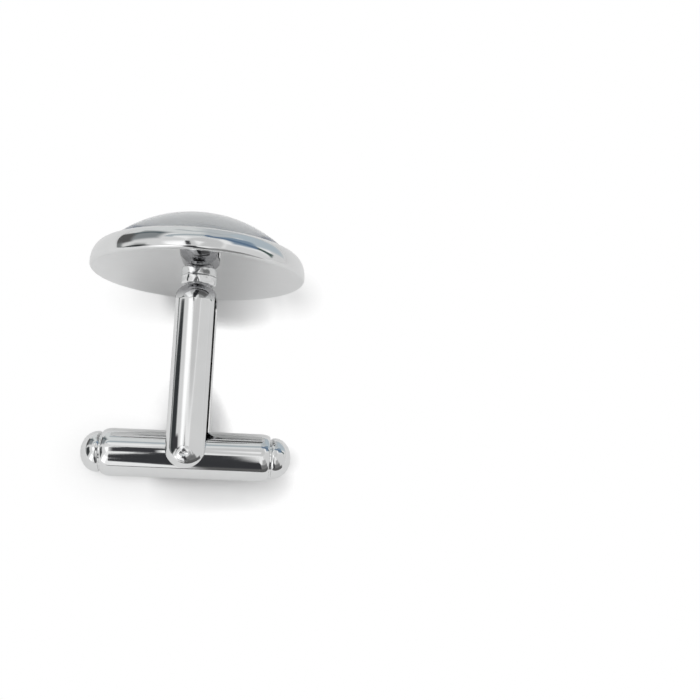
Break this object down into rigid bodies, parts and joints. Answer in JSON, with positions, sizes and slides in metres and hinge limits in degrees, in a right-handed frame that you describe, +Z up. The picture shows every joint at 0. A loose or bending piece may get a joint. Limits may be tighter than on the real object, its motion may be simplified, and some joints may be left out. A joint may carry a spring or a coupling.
{
  "type": "cufflink",
  "caption": "Round cufflink with a domed glass face in a plated bezel cup, a forked post and a swivelling bullet-shaped toggle.",
  "frame": {"origin": "on the table under the middle of the object's box, with the link lying on the edge of its face, on its lower fork arm and on the left end of its toggle", "axes": "+Z up from the table; +Y from the toggle towards the face, level; +X to the right along the toggle as seen from behind the link"},
  "size_m": [0.018, 0.022, 0.017],
  "materials": {
    "plating": "bright silver-coloured plating over brass, fine handling marks",
    "solder": "lumpy solder under the same bright plating",
    "pin_steel": "riveted steel, plated over, slightly duller than the rest",
    "spring_steel": "bare drawn wire",
    "plunger_brass": "turned, bare",
    "glass": "clear and polished",
    "foil": "printed disc in blues, with a plain ring pattern",
    "adhesive": "set clear glue"
  },
  "bodies": {
    "link": {"bezel_cup": "plating", "adhesive_bed": "adhesive", "foil_disc": "foil", "glass_cabochon": "glass", "post_fork": "plating", "solder_joint": "solder", "hinge_pin": "pin_steel"},
    "toggle": {"toggle_tube": "plating", "end_cap_left": "plating", "end_cap_right": "plating", "detent_spring_left": "spring_steel", "detent_spring_right": "spring_steel"},
    "plunger_left": {"detent_plunger_left": "plunger_brass"},
    "plunger_right": {"detent_plunger_right": "plunger_brass"}
  },
  "joints": [
    {"name": "toggle_swivel", "type": "hinge", "parent": "link", "child": "toggle", "pos_m": [0, -0.00871, 0.0028], "axis": [-0.1512, -0.3609, 0.9203], "continuous": true},
    {"name": "plunger_left_slide", "type": "slide", "parent": "toggle", "child": "plunger_left", "axis": [-0.9885, 0.0552, -0.1408], "range_m": [-0.00016, 0], "stiffness_N_per_m": 400, "springref_m": -0.0006, "deforming": ["detent_spring_left"]},
    {"name": "plunger_right_slide", "type": "slide", "parent": "toggle", "child": "plunger_right", "axis": [0.9885, -0.0552, 0.1408], "range_m": [-0.00016, 0], "stiffness_N_per_m": 400, "springref_m": -0.0006, "deforming": ["detent_spring_right"]}
  ]
}
